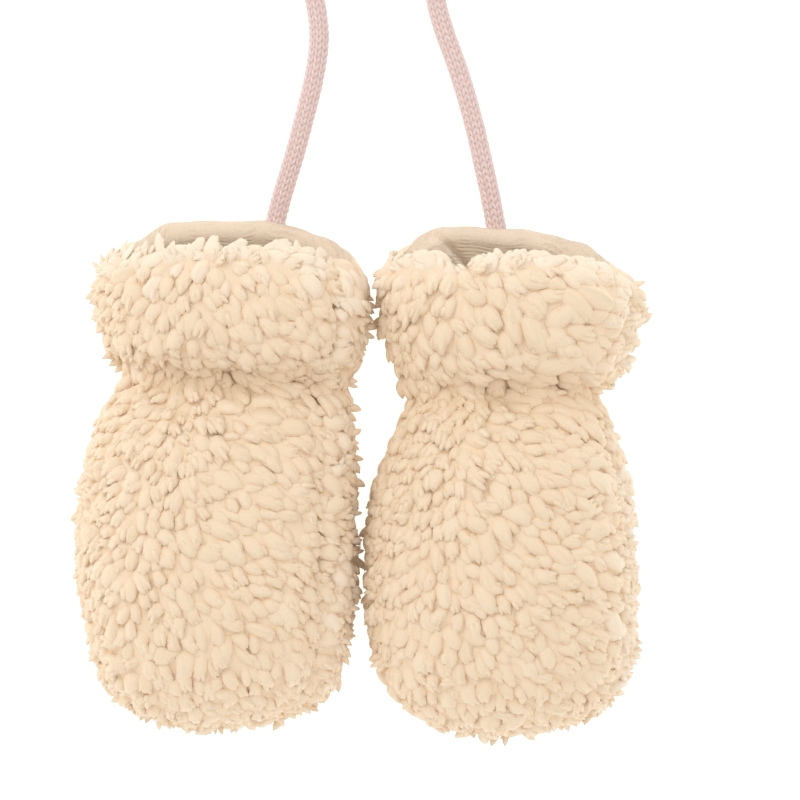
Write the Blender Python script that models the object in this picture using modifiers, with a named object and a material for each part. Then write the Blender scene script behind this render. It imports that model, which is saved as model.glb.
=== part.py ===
"""Pair of baby mittens in long-pile teddy cloth, lined with plush and joined by a knitted cord.

Both lie on their backs on z = 0, cuffs towards +Y, thumbless and rounded at the tip. Metres, +Z up.
The origin is the middle of the pair on the surface, the cord left out.
"""

import math
from collections import namedtuple

import bmesh
import bpy
from mathutils import Vector

MM = 0.001

# The cloth. A depth is measured inwards from the tips of the pile.
PILE_WALL = 7.5 * MM
LINING_WALL = 1.3 * MM
GAP = 0.3 * MM
SOLE_SHARE = 0.73
LIP_ROUND = 2.6 * MM

# A section through a mitten is a ring of two half superellipses that meet at its widest line.
EDGE_Z = 14.5 * MM
CROWN_POWER = 2.25
SOLE_POWER = 2.7

# Places along a mitten, counted in rows of its table from the rim.
LIP_LEVEL = 0.15
CREASE_LEVEL = 5.0
LAST_LEVEL = 14.8
HALF_STEPS_SHELL = ((0.5, 6.5), (11.0, 14.5))
HALF_STEPS_LINING = ((4.0, 6.0), (13.0, 14.5))
COLUMNS = 18

# The elastic at the wrist draws the shell into these gathers all round.
GATHERS = 10
GATHER_DEPTH = 1.8 * MM
GATHER_REACH = 0.9
SEAM_DIP = 1.2 * MM
SEAM_DIP_WIDTH = math.radians(7)

# The plush rolls over the back rim, and its front edge stays just under the front rim.
ROLL_START = -0.2
ROLL_END = -0.04
ROLL_DEPTH = 3.2 * MM
FRONT_LINING_START = 0.08

# The knitted cord.
CORD_DIAMETER = 6.0 * MM
CORD_POINT_EVERY = 1.9
CORD_SIDES_LEVEL = 2
COIL_X = 1.0 * MM
COIL_Y = 198.0 * MM
COIL_RADIUS = 31.0 * MM
COIL_CORNER = 2.0 * MM
COIL_STEPS = 48

# One row for each section, from the rim to the tip, in millimetres from the mitten's own axis.
# The rises say how far the middle of the front and of the back run beyond the two edges.
Section = namedtuple(
    "Section", "name left_x left_y right_x right_y crown_z sole_z front_rise back_rise"
)
LEFT_SECTIONS = (
    Section("rim", -34.0, 63.0, 43.0, 62.0, 32.0, -1.0, 5.0, 9.5),
    Section("cuff high", -35.6, 55.3, 44.2, 54.0, 36.5, -2.5, 3.5, 7.0),
    Section("cuff middle", -35.3, 47.7, 44.6, 46.0, 38.5, -3.0, 1.5, 3.0),
    Section("cuff low", -32.8, 40.2, 43.6, 39.2, 38.0, -2.5, 0.5, 0.5),
    Section("cuff lip", -30.2, 34.5, 42.0, 33.0, 35.0, -1.0, 0.0, 0.0),
    Section("crease", -27.6, 29.7, 39.5, 26.0, 28.5, 1.0, 0.0, 0.0),
    Section("hand top", -31.3, 23.7, 39.3, 21.0, 31.5, -1.0, 0.0, 0.0),
    Section("heel", -35.3, 15.0, 40.0, 13.0, 36.5, -2.5, 0.0, 0.0),
    Section("palm high", -38.8, 2.0, 40.6, 0.3, 40.5, -3.5, 0.0, 0.0),
    Section("palm", -40.5, -14.5, 40.6, -14.5, 42.0, -3.5, 0.0, 0.0),
    Section("palm low", -39.9, -30.2, 40.6, -29.3, 42.0, -3.5, 0.0, 0.0),
    Section("fingers", -37.3, -44.4, 39.2, -42.4, 40.0, -3.0, 0.0, 0.0),
    Section("shoulder", -33.3, -56.0, 36.5, -55.0, 36.0, -1.5, 0.0, 0.0),
    Section("round", -26.5, -64.9, 30.8, -63.0, 30.0, 1.0, 0.0, 0.0),
    Section("end", -15.4, -70.1, 20.5, -68.3, 23.0, 6.0, 0.0, 0.0),
    Section("tip", 1.7, -71.8, 1.7, -71.8, 14.5, 14.5, 0.0, 0.0),
)
RIGHT_SECTIONS = (
    Section("rim", -34.5, 62.5, 33.6, 62.0, 32.0, -1.0, 3.5, 8.0),
    Section("cuff high", -35.7, 56.2, 39.9, 54.5, 36.5, -2.5, 2.5, 5.5),
    Section("cuff middle", -35.3, 48.8, 41.0, 48.2, 38.5, -3.0, 1.0, 2.5),
    Section("cuff low", -33.9, 40.2, 39.3, 39.7, 38.0, -2.5, 0.0, 0.5),
    Section("cuff lip", -31.1, 31.7, 36.5, 31.7, 35.0, -1.0, 0.0, 0.0),
    Section("crease", -28.2, 23.7, 30.5, 24.6, 28.5, 1.0, 0.0, 0.0),
    Section("hand top", -29.4, 18.6, 31.1, 19.2, 31.5, -1.0, 0.0, 0.0),
    Section("heel", -32.5, 10.6, 34.2, 10.6, 36.5, -2.5, 0.0, 0.0),
    Section("palm high", -36.5, 0.0, 37.0, 0.3, 40.5, -3.5, 0.0, 0.0),
    Section("palm", -39.0, -13.9, 38.5, -13.9, 42.0, -3.5, 0.0, 0.0),
    Section("palm low", -39.6, -28.2, 39.6, -28.7, 42.0, -3.5, 0.0, 0.0),
    Section("fingers", -38.8, -42.4, 39.2, -43.0, 40.0, -3.0, 0.0, 0.0),
    Section("shoulder", -35.6, -54.5, 37.3, -55.0, 36.0, -1.5, 0.0, 0.0),
    Section("round", -29.4, -64.5, 31.4, -65.0, 30.0, 1.0, 0.0, 0.0),
    Section("end", -18.5, -71.3, 18.0, -71.3, 23.0, 6.0, 0.0, 0.0),
    Section("tip", -1.0, -73.8, -1.0, -73.8, 14.5, 14.5, 0.0, 0.0),
)

# The side seams stand at these angles round the rings, from the right edge up over the crown.
Mitten = namedtuple("Mitten", "name axis_x sections right_seam left_seam")
MITTENS = (
    Mitten("left", -40.8 * MM, LEFT_SECTIONS, math.radians(40), math.radians(202)),
    Mitten("right", 40.25 * MM, RIGHT_SECTIONS, math.radians(24), math.radians(194)),
)

# The cord's route points, in millimetres: out of the back rim, down to the surface, and to the coil,
# which the right strand leaves from its upper layer.
LEFT_ROUTE = (
    (-24.1, 74.6, 5.4),
    (-22.9, 79.5, 4.9),
    (-21.3, 85.0, 3.7),
    (-18.9, 93.0, 3.1),
    (-16.5, 102.0, 3.1),
    (-14.2, 111.0, 3.1),
    (-12.5, 119.5, 3.1),
    (-11.8, 128.0, 3.1),
    (-12.9, 137.0, 3.1),
    (-15.4, 146.0, 3.1),
    (-19.6, 155.0, 3.1),
    (-24.4, 163.5, 3.1),
    (-28.1, 170.0, 3.1),
)
RIGHT_ROUTE = (
    (39.1, 72.4, 5.4),
    (38.2, 77.5, 4.9),
    (37.0, 83.5, 3.7),
    (34.9, 93.0, 3.1),
    (32.8, 102.0, 3.1),
    (30.3, 111.0, 3.1),
    (27.6, 119.5, 3.1),
    (24.5, 128.0, 3.1),
    (22.0, 137.0, 3.1),
    (21.6, 146.0, 3.1),
    (23.9, 155.0, 3.5),
    (27.8, 163.5, 5.3),
    (30.6, 170.3, 7.4),
)

TEDDY_CREAM = (0.86, 0.68, 0.48)
PLUSH_BEIGE = (0.68, 0.52, 0.38)
CORD_PINK = (0.78, 0.62, 0.57)


def clear_scene():
    for item in list(bpy.data.objects):
        bpy.data.objects.remove(item, do_unlink=True)


def make_collection(name):
    collection = bpy.data.collections.new(name)
    bpy.context.scene.collection.children.link(collection)
    return collection


def make_material(name, colour, roughness):
    material = bpy.data.materials.new(name)
    material.use_nodes = True
    shader = material.node_tree.nodes["Principled BSDF"]
    shader.inputs["Base Color"].default_value = (*colour, 1.0)
    shader.inputs["Roughness"].default_value = roughness
    shader.inputs["Metallic"].default_value = 0.0
    return material


def spline(points, place):
    """The smooth curve through the points, at a place counted in points, and its direction there.

    It runs straight on before the first point and beyond the last."""
    last = len(points) - 1
    index = min(max(math.floor(place), 0), last - 1)
    part = min(max(place - index, 0.0), 1.0)
    before = points[index - 1] if index > 0 else 2 * points[0] - points[1]
    after = points[index + 2] if index + 2 <= last else 2 * points[last] - points[last - 1]
    start = points[index]
    end = points[index + 1]
    slope_in = (end - before) / 2
    slope_out = (after - start) / 2
    rise = end - start
    bend = 3 * rise - 2 * slope_in - slope_out
    twist = slope_in + slope_out - 2 * rise
    point = start + part * (slope_in + part * (bend + part * twist))
    direction = slope_in + part * (2 * bend + 3 * part * twist)
    outside = place - index - part
    return point + outside * direction, direction


def rails(mitten):
    """Four lines from rim to tip: left edge, right edge, crown and sole.

    Each runs one row past the tip, onto the line opposite, so that the tip is round."""
    lines = {"left": [], "right": [], "crown": [], "sole": []}
    for row in mitten.sections:
        middle_x = (row.left_x + row.right_x) / 2
        middle_y = (row.left_y + row.right_y) / 2
        edge_z = EDGE_Z / MM
        lines["left"].append(Vector((row.left_x, row.left_y, edge_z)))
        lines["right"].append(Vector((row.right_x, row.right_y, edge_z)))
        lines["crown"].append(Vector((middle_x, middle_y + row.front_rise, row.crown_z)))
        lines["sole"].append(Vector((middle_x, middle_y + row.back_rise, row.sole_z)))
    shift = Vector((mitten.axis_x, 0.0, 0.0))
    placed = {name: [shift + MM * point for point in line] for name, line in lines.items()}
    opposite = {"left": "right", "right": "left", "crown": "sole", "sole": "crown"}
    beyond = {name: placed[opposite[name]][-2] for name in placed}
    return {name: line + [beyond[name]] for name, line in placed.items()}


def pressed(depth):
    """A depth on the underside, where the mitten's weight presses the pile."""
    return depth - min(depth, PILE_WALL) * (1 - SOLE_SHARE)


def inset_rails(lines, level, depth):
    """The four lines' points at one level, moved inwards by a depth."""
    left, along = spline(lines["left"], level)
    left = left + depth * Vector((-along.y, along.x, 0.0)).normalized()
    right, along = spline(lines["right"], level)
    right = right + depth * Vector((along.y, -along.x, 0.0)).normalized()
    crown, along = spline(lines["crown"], level)
    crown = crown + depth * Vector((0.0, -along.z, along.y)).normalized()
    sole, along = spline(lines["sole"], level)
    sole = sole + pressed(depth) * Vector((0.0, along.z, -along.y)).normalized()
    return left, right, crown, sole


def ring_point(lines, level, depth, angle):
    """A point of the ring at a level, at a depth in the cloth."""
    left, right, crown, sole = inset_rails(lines, level, depth)
    middle = (left + right) / 2
    across = math.cos(angle)
    over = math.sin(angle)
    pole, power = (crown, CROWN_POWER) if over >= 0 else (sole, SOLE_POWER)
    share_across = math.copysign(abs(across) ** (2 / power), across)
    share_over = abs(over) ** (2 / power)
    point = middle + share_across * (right - left) / 2 + share_over * (pole - middle)
    point.z = max(point.z, pressed(depth))
    return point


def tip_point(lines, depth, side_angle):
    """The tip at a depth, moved half a seam's gap into its own panel."""
    tip = lines["left"][-2]
    aside = Vector((math.cos(side_angle), 0.0, math.sin(side_angle)))
    return tip + Vector((0.0, depth, 0.0)) + GAP / 2 * aside


def seam_parted(row):
    """The row with its two ends moved half a gap off the seams."""
    first = row[0] + GAP / 2 * (row[1] - row[0]).normalized()
    last = row[-1] + GAP / 2 * (row[-2] - row[-1]).normalized()
    return [first, *row[1:-1], last]


def surface(lines, span, levels):
    """Rows of points over a panel, from its first seam to its second. A level is (place, depth)."""
    rows = []
    angles = [span[0] + (span[1] - span[0]) * i / COLUMNS for i in range(COLUMNS + 1)]
    for place, depth_at in levels:
        row = [ring_point(lines, place, depth_at(angle), angle) for angle in angles]
        rows.append(seam_parted(row))
    return rows


def fill_between(mesh, first, second):
    for i in range(len(first) - 1):
        mesh.faces.new((first[i], first[i + 1], second[i + 1], second[i]))


def wall_object(name, outer, inner, tips, material, collection):
    """A closed wall between two surfaces that share one grid, drawn to a point at the tip."""
    mesh = bmesh.new()
    outer_rows = [[mesh.verts.new(point) for point in row] for row in outer]
    inner_rows = [[mesh.verts.new(point) for point in row] for row in inner]
    outer_tip, inner_tip = (mesh.verts.new(point) for point in tips)
    for rows, tip in ((outer_rows, outer_tip), (inner_rows, inner_tip)):
        for upper, lower in zip(rows, rows[1:]):
            fill_between(mesh, upper, lower)
        for i in range(len(rows[-1]) - 1):
            mesh.faces.new((rows[-1][i], rows[-1][i + 1], tip))
    fill_between(mesh, outer_rows[0], inner_rows[0])
    for column in (0, -1):
        outer_edge = [row[column] for row in outer_rows] + [outer_tip]
        inner_edge = [row[column] for row in inner_rows] + [inner_tip]
        fill_between(mesh, outer_edge, inner_edge)
    bmesh.ops.recalc_face_normals(mesh, faces=mesh.faces)
    data = bpy.data.meshes.new(name)
    mesh.to_mesh(data)
    mesh.free()
    data.shade_smooth()
    data.set_sharp_from_angle(angle=math.radians(50))
    data.materials.append(material)
    piece = bpy.data.objects.new(name, data)
    collection.objects.link(piece)
    return piece


def places(half_steps):
    """Levels from the first below the rim to just before the tip, at each row and in between them
    in the stretches given, where the shape bends."""
    halves = [i / 2 for i in range(1, int(2 * LAST_LEVEL) + 1)]
    kept = [
        place
        for place in halves
        if place.is_integer() or any(low <= place <= high for low, high in half_steps)
    ]
    return kept + [LAST_LEVEL]


def shell_depth(mitten, place):
    """How deep the shell's outer face lies, as a function of the angle: lip, gathers and seams."""
    lip = LIP_ROUND * max(0.0, 1 - place / (3 * LIP_LEVEL)) ** 2
    gather = GATHER_DEPTH * math.exp(-(((place - CREASE_LEVEL) / GATHER_REACH) ** 2))

    def depth(angle):
        wave = 0.5 - 0.5 * math.cos(GATHERS * angle)
        dips = sum(
            math.exp(-(((angle - seam) / SEAM_DIP_WIDTH) ** 2))
            for seam in (mitten.right_seam, mitten.left_seam, mitten.right_seam + math.tau)
        )
        return lip + gather * wave + SEAM_DIP * dips

    return depth


def constant(depth):
    return lambda angle: depth


def panel_spans(mitten):
    """The angles of the front panel, over the crown, and of the back panel, under the sole."""
    front = (mitten.right_seam, mitten.left_seam)
    back = (mitten.left_seam, mitten.right_seam + math.tau)
    return {"front": front, "back": back}


def make_shell(mitten, lines, side, material, collection):
    span = panel_spans(mitten)[side]
    levels = [0.0, LIP_LEVEL] + places(HALF_STEPS_SHELL)
    outer_levels = [(place, shell_depth(mitten, place)) for place in levels]
    inner_levels = [(place, constant(PILE_WALL)) for place in levels]
    outer = surface(lines, span, outer_levels)
    inner = surface(lines, span, inner_levels)
    middle = sum(span) / 2
    tips = [tip_point(lines, depth, middle) for depth in (0.0, PILE_WALL)]
    wall_object(f"{mitten.name}_shell_{side}", outer, inner, tips, material, collection)


def make_lining(mitten, lines, side, material, collection):
    span = panel_spans(mitten)[side]
    outer_depth = PILE_WALL + GAP
    inner_depth = outer_depth + LINING_WALL
    levels = [(place, outer_depth) for place in places(HALF_STEPS_LINING)]
    if side == "back":
        roll = [(ROLL_START, ROLL_DEPTH), (ROLL_END, ROLL_DEPTH), (ROLL_END, outer_depth)]
        levels = roll + levels
    else:
        levels = [(FRONT_LINING_START, outer_depth)] + levels
    outer_levels = [(place, constant(depth)) for place, depth in levels]
    inner_levels = [(place, constant(inner_depth)) for place, depth in levels]
    if side == "back":
        inner_levels[1] = ((ROLL_START + ROLL_END) / 2, inner_levels[1][1])
    outer = surface(lines, span, outer_levels)
    inner = surface(lines, span, inner_levels)
    middle = sum(span) / 2
    tips = [tip_point(lines, depth, middle) for depth in (outer_depth, inner_depth)]
    wall_object(f"{mitten.name}_lining_{side}", outer, inner, tips, material, collection)


def make_cord(name, route, material, collection):
    """A tube along a smooth curve through the route's points."""
    through = [MM * Vector(point) for point in route]
    length = sum((b - a).length for a, b in zip(through, through[1:]))
    count = round(length / (CORD_POINT_EVERY * CORD_DIAMETER))
    curve = bpy.data.curves.new(name, "CURVE")
    curve.dimensions = "3D"
    curve.bevel_depth = CORD_DIAMETER / 2
    curve.bevel_resolution = CORD_SIDES_LEVEL
    curve.use_fill_caps = True
    line = curve.splines.new("POLY")
    line.points.add(count)
    for i in range(count + 1):
        point, _ = spline(through, (len(through) - 1) * i / count)
        line.points[i].co = (*point, 1.0)
    line.use_smooth = True
    curve.materials.append(material)
    collection.objects.link(bpy.data.objects.new(name, curve))


def make_coil(material, collection):
    """The outer shape of the wound cord, two turns wide and two high, as a turned ring."""
    inner = COIL_RADIUS - CORD_DIAMETER
    outer = COIL_RADIUS + CORD_DIAMETER
    top = 2 * CORD_DIAMETER
    cut = COIL_CORNER
    profile = (
        (inner + cut, 0.0),
        (inner, cut),
        (inner, top - cut),
        (inner + cut, top),
        (outer - cut, top),
        (outer, top - cut),
        (outer, cut),
        (outer - cut, 0.0),
    )
    mesh = bmesh.new()
    corners = [mesh.verts.new((radius, 0.0, height)) for radius, height in profile]
    for first, second in zip(corners, corners[1:] + corners[:1]):
        mesh.edges.new((first, second))
    data = bpy.data.meshes.new("cord_coil")
    mesh.to_mesh(data)
    mesh.free()
    data.materials.append(material)
    coil = bpy.data.objects.new("cord_coil", data)
    coil.location = (COIL_X, COIL_Y, 0.0)
    collection.objects.link(coil)
    screw = coil.modifiers.new("turn", "SCREW")
    screw.axis = "Z"
    screw.angle = math.tau
    screw.steps = COIL_STEPS
    screw.render_steps = COIL_STEPS
    screw.use_merge_vertices = True
    screw.merge_threshold = 0.00001
    screw.use_smooth_shade = True


def main():
    clear_scene()
    collection = make_collection("baby_mittens")
    teddy = make_material("teddy_cloth", TEDDY_CREAM, 0.95)
    plush = make_material("lining_plush", PLUSH_BEIGE, 0.9)
    knit = make_material("knitted_cord", CORD_PINK, 0.85)
    for mitten in MITTENS:
        lines = rails(mitten)
        for side in ("front", "back"):
            make_shell(mitten, lines, side, teddy, collection)
            make_lining(mitten, lines, side, plush, collection)
    make_cord("cord_left", LEFT_ROUTE, knit, collection)
    make_cord("cord_right", RIGHT_ROUTE, knit, collection)
    make_coil(knit, collection)


main()
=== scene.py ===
"""Looks for a pair of baby mittens: long-pile teddy cloth, plush lining and a knitted cord.

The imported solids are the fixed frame. Everything is in metres, +Z up, cuffs towards +Y.
"""

import math
from collections import namedtuple
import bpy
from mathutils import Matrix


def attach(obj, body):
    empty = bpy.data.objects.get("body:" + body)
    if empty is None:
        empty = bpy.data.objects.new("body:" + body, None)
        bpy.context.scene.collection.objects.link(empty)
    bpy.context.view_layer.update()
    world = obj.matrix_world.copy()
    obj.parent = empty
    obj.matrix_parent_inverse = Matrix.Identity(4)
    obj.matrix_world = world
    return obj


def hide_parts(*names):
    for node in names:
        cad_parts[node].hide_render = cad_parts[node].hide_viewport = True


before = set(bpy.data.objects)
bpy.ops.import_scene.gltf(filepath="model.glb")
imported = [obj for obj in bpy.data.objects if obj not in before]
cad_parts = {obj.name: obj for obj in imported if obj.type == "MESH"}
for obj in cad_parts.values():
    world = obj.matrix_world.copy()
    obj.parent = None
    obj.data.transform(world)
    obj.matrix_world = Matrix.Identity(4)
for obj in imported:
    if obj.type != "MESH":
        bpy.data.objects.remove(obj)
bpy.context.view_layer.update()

from types import SimpleNamespace

import bpy
import numpy as np
from mathutils import Vector
from mathutils.kdtree import KDTree

bl_info = {
    "name": "Teddy mittens",
    "version": (1, 0, 0),
    "blender": (4, 5, 0),
    "location": "3D View > Sidebar > Mittens",
    "description": "Dresses the solids of a pair of teddy mittens with pile, lining and cord",
    "category": "Object",
}

MM = 0.001

# The cloth. A depth is measured inwards from the tips of the pile.
PILE_WALL = 7.5 * MM
LINING_WALL = 1.3 * MM
GAP = 0.3 * MM
SOLE_SHARE = 0.73
LIP_ROUND = 2.6 * MM
LIP_LEVEL = 0.15
CREASE_LEVEL = 5.0
GATHERS = 10
GATHER_DEPTH = 1.8 * MM
GATHER_REACH = 0.9
SEAM_DIP = 2.0 * MM
SEAM_DIP_WIDTH = math.radians(5.5)
SEAM_ROUND = 30 * MM
WRIST_LINE = 4.95
WRIST_DIP = 2.0 * MM
WRIST_DIP_WIDTH = 0.3

# The ring of a section is two half superellipses that meet at its widest line.
EDGE_Z = 14.5 * MM
CROWN_POWER = 2.25
SOLE_POWER = 2.7
# The form's four rails, each with the first axis of the plane in which it is set inwards, and with
# the hand on which inwards lies.
RAILS = (("left", 0, 1), ("right", 0, -1), ("crown", 1, 1), ("sole", 1, -1))

# The sections from the rim to the tip, in millimetres. The height of the crown and of the sole, for
# both mittens.
HEIGHTS = (
    (32.0, -1.0), (36.5, -2.5), (38.5, -3.0), (38.0, -2.5), (35.0, -1.0), (28.5, 1.0), (31.5, -1.0),
    (36.5, -2.5), (40.5, -3.5), (42.0, -3.5), (42.0, -3.5), (40.0, -3.0), (36.0, -1.5), (30.0, 1.0),
    (23.0, 6.0), (14.5, 14.5),
)
# Left x, left y, right x, right y, from the mitten's own axis. Then how far the first sections rise
# at the front and at the back.
LEFT_OUTLINE = (
    (-34.0, 63.0, 43.0, 62.0), (-35.6, 55.3, 44.2, 54.0), (-35.3, 47.7, 44.6, 46.0),
    (-32.8, 40.2, 43.6, 39.2), (-30.2, 34.5, 42.0, 33.0), (-27.6, 29.7, 39.5, 26.0),
    (-31.3, 23.7, 39.3, 21.0), (-35.3, 15.0, 40.0, 13.0), (-38.8, 2.0, 40.6, 0.3),
    (-40.5, -14.5, 40.6, -14.5), (-39.9, -30.2, 40.6, -29.3), (-37.3, -44.4, 39.2, -42.4),
    (-33.3, -56.0, 36.5, -55.0), (-26.5, -64.9, 30.8, -63.0), (-15.4, -70.1, 20.5, -68.3),
    (1.7, -71.8, 1.7, -71.8),
)
LEFT_RISES = ((5.0, 9.5), (3.5, 7.0), (1.5, 3.0), (0.5, 0.5))
RIGHT_OUTLINE = (
    (-34.5, 62.5, 33.6, 62.0), (-35.7, 56.2, 39.9, 54.5), (-35.3, 48.8, 41.0, 48.2),
    (-33.9, 40.2, 39.3, 39.7), (-31.1, 31.7, 36.5, 31.7), (-28.2, 23.7, 30.5, 24.6),
    (-29.4, 18.6, 31.1, 19.2), (-32.5, 10.6, 34.2, 10.6), (-36.5, 0.0, 37.0, 0.3),
    (-39.0, -13.9, 38.5, -13.9), (-39.6, -28.2, 39.6, -28.7), (-38.8, -42.4, 39.2, -43.0),
    (-35.6, -54.5, 37.3, -55.0), (-29.4, -64.5, 31.4, -65.0), (-18.5, -71.3, 18.0, -71.3),
    (-1.0, -73.8, -1.0, -73.8),
)
RIGHT_RISES = ((3.5, 8.0), (2.5, 5.5), (1.0, 2.5), (0.0, 0.5))

# Which way the pile is brushed on the front, at places in millimetres from the mitten's own axis:
# x, y, direction in degrees from +X, and how large the locks are there.
LEFT_NAP = (
    (-34, 62, -175, 1.0), (-15, 66, -115, 0.9), (10, 66, -70, 0.9), (40, 62, -20, 0.9),
    (-34, 50, -165, 1.0), (-20, 52, -110, 1.0), (0, 52, -60, 0.9), (20, 52, -50, 1.0),
    (42, 48, -25, 1.0), (-30, 38, -140, 1.0), (-12, 38, -80, 1.0), (8, 38, -60, 1.0),
    (26, 38, -50, 1.1), (42, 36, -30, 1.0), (-36, 12, 170, 0.9), (-22, 14, -100, 0.95),
    (0, 14, -42, 0.95), (18, 14, -32, 1.0), (36, 12, -8, 1.1), (-38, -5, 172, 0.9),
    (-22, -8, -90, 1.0), (0, -8, -42, 0.95), (18, -8, -32, 1.0), (37, -8, -8, 1.0),
    (-38, -28, -165, 0.95), (-22, -30, -82, 1.05), (0, -30, -42, 0.95), (18, -30, -32, 1.0),
    (38, -30, -8, 0.9), (-34, -50, -140, 1.0), (-16, -52, -95, 1.1), (4, -52, -75, 1.0),
    (22, -52, -50, 1.0), (36, -50, -30, 1.0), (-20, -66, -110, 1.0), (2, -68, -90, 1.0),
    (22, -64, -65, 1.0),
)
RIGHT_NAP = (
    (-34, 60, -175, 1.0), (-14, 64, -90, 1.1), (10, 64, -50, 1.1), (34, 60, -10, 1.1),
    (-34, 48, -150, 1.1), (-18, 50, -65, 1.25), (2, 50, -45, 1.3), (20, 50, -30, 1.3),
    (38, 50, -8, 1.2), (-30, 36, -140, 1.1), (-14, 36, -60, 1.2), (4, 36, -30, 1.25),
    (20, 36, -20, 1.2), (36, 36, -8, 1.1), (-32, 10, -150, 0.9), (-18, 12, -85, 0.95),
    (0, 12, -38, 1.0), (18, 12, -20, 1.1), (34, 10, 0, 1.1), (-36, -8, -165, 0.9),
    (-20, -8, -90, 1.0), (0, -8, -38, 1.0), (18, -8, -20, 1.1), (36, -8, 0, 1.1),
    (-38, -30, -165, 0.9), (-22, -30, -75, 1.1), (-2, -30, -45, 1.0), (16, -30, -25, 1.1),
    (36, -30, -3, 1.1), (-34, -52, -135, 1.0), (-16, -52, -75, 1.1), (4, -52, -50, 1.0),
    (22, -52, -30, 1.0), (36, -50, -15, 1.0), (-20, -66, -105, 1.0), (0, -70, -90, 1.0),
    (20, -66, -60, 1.0),
)
NAP_REACH = 12 * MM
RIM_BAND = (0.25, 0.8)
# Below the first height the pile is brushed as the underside's, above the second as the front's.
UNDERSIDE = (7 * MM, 15 * MM)

# The side seams stand at these angles round the rings, from the right edge up over the crown.
# dip is how far the front rim dips at the lining's fold, hold_back how far the rim's locks are
# drawn back from the mouth, in lock lengths, and droop how far the roll droops on the right.
Mitten = namedtuple(
    "Mitten", "name axis_x outline rises nap right_seam left_seam seed dip hold_back droop"
)
MITTENS = (
    Mitten(
        "left", -40.8 * MM, LEFT_OUTLINE, LEFT_RISES, LEFT_NAP, math.radians(40),
        math.radians(202), 11, 0.0, 0.16, 1.9 * MM,
    ),
    Mitten(
        "right", 40.25 * MM, RIGHT_OUTLINE, RIGHT_RISES, RIGHT_NAP, math.radians(24),
        math.radians(194), 23, 5.4 * MM, 0.34, 0.0,
    ),
)
SIDES = ("front", "back")

# The pile. The backing lies under it, and a lock's root stands on the backing.
ROOT_DEPTH = 6.2 * MM
BACKING_WALL = 0.7 * MM
BED_DEPTH = 2.25 * MM
# Points below this height are eased towards the surface and never reach it.
LOW = 0.3 * MM
STATIONS = np.array((0.0, 0.16, 0.32, 0.47, 0.61, 0.74, 0.86, 0.95, 1.0))
ROUND_LEAF = np.array((0.50, 0.78, 0.94, 1.0, 1.0, 0.95, 0.79, 0.50, 0.0))
POINTED_LEAF = np.array((0.50, 0.82, 0.98, 1.0, 0.91, 0.74, 0.51, 0.27, 0.0))
LEAF_THICKNESS = np.array((0.50, 0.74, 0.90, 1.0, 1.0, 0.96, 0.82, 0.55, 0.0))
LEAF_EDGE = 1.2
# How much of its tuck a lock has at each station.
TUCK = np.clip((STATIONS - 0.55) / 0.45, 0, 1) ** 2
# How far apart the locks stand where they lie flat, along them and across, in spacings.
ALONG = 1.75
ACROSS = 0.92
# How many sides a lock has and how many leaflets, on the front and on the back.
LOCK_SIDES = {"front": 10, "back": 8}
LEAFLETS = {"front": 3, "back": 2}
# A leaflet, from its root to its tip: how far along, how thick, and which side each stands on.
LEAFLET_LEVELS = np.array((0.0, 0.25, 0.5, 0.78, 1.0))
LEAFLET_GIRTH = np.array((0.60, 1.0, 1.0, 0.66, 0.0))
LEAFLET_HANDS = np.array((1.0, -1.0, 0.2))
LEAFLET_SIDES = 4
# Where leaflets start, aside and up from the lock's middle line, in its widths and thicknesses,
# how far they reach and sink, how they fan out, and how wide and thick they are beside the lock.
LEAFLET_ASIDE = (0.06, 0.24)
LEAFLET_RAISED = (0.08, 0.30)
LEAFLET_REACH = (0.70, 0.95)
LEAFLET_SINK = (0.08, 0.30)
LEAFLET_FAN = 0.8
LEAFLET_STRAY = 0.08
LEAFLET_WIDTH = 0.25
LEAFLET_THICKNESS = 0.30
LEAFLET_GIRTHS = (0.8, 1.2)
# How the locks vary: their sizes, how far they turn from the brushing, and the share of a lock
# that lies behind its root's place. The roots are scattered at this depth, from this place on.
LOCK_SIZES = (0.70, 1.15)
YAW = math.radians(19)
BEHIND = 0.42
SCATTER_DEPTH = 3 * MM
FIRST_PLACE = {"front": 0.0, "back": 0.3}
# A lock's length: its spread, the share that an upright one keeps, and the shares that it loses at
# creases, gains at the rim and loses at the rim's dip.
LENGTHS = (0.8, 1.2)
UPRIGHT_LENGTH = 0.12
CREASE_LOSS = 0.35
RIM_GAIN = 0.3
DIP_LOSS = 0.4
# At the front's right seam a lock reaches this far past it, but keeps this share of its length.
SEAM_REACH = 1.5 * MM
LEAST_LENGTH = 0.4
AHEAD = 0.58
# A lock's girth: its spread, and what the rim adds in width and takes in thickness.
GIRTHS = (0.85, 1.15)
RIM_WIDER = 0.15
RIM_THINNER = 0.3
# How unevenly the rim's locks start, in lock lengths, how much further back the dip's locks do, how
# much more the rim's locks turn, and how far a lock's end sways aside.
RIM_STARTS = (-0.3, 0.16)
DIP_START = 0.2
RIM_YAW = 1.4
SWAY = 0.8 * MM
# A lock's middle line rises from its root to its crest, in shares of the pile's height under the
# skin, with a bend: each for a lying lock, and what is added for an upright one. Its tip tucks in.
ROOT_SHARE = (0.62, 0.3)
CREST_SHARE = (0.33, -0.13)
CREST_SPREAD = 0.06
BEND = (2.2, -1.1)
TUCKS = (0.03, 0.14)
# How rounded locks are, how much less the upright ones and the rim's are, and how lumpy all are.
ROUND_SHARES = (0.0, 0.9)
UPRIGHT_POINTED = 0.3
RIM_POINTED = 0.8
LOCK_LUMPS = 0.10
STATION_LUMPS = 0.03
# Where the locks are made paler: places near the rim, and distances from the mitten's axis over
# which painted light brightens the right edge.
WHITE_RIM = (0.3, 2.4)
PAINTED_LIGHT_EDGE = (24 * MM, 38 * MM)
# How pale: the rim's locks; then, as painted light, the upright ones on the steep sides and those
# at the right edge.
RIM_WHITE = (0.7, 1.0)
UPRIGHT_PAINTED_LIGHT = 0.35
EDGE_PAINTED_LIGHT = 0.8
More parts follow.
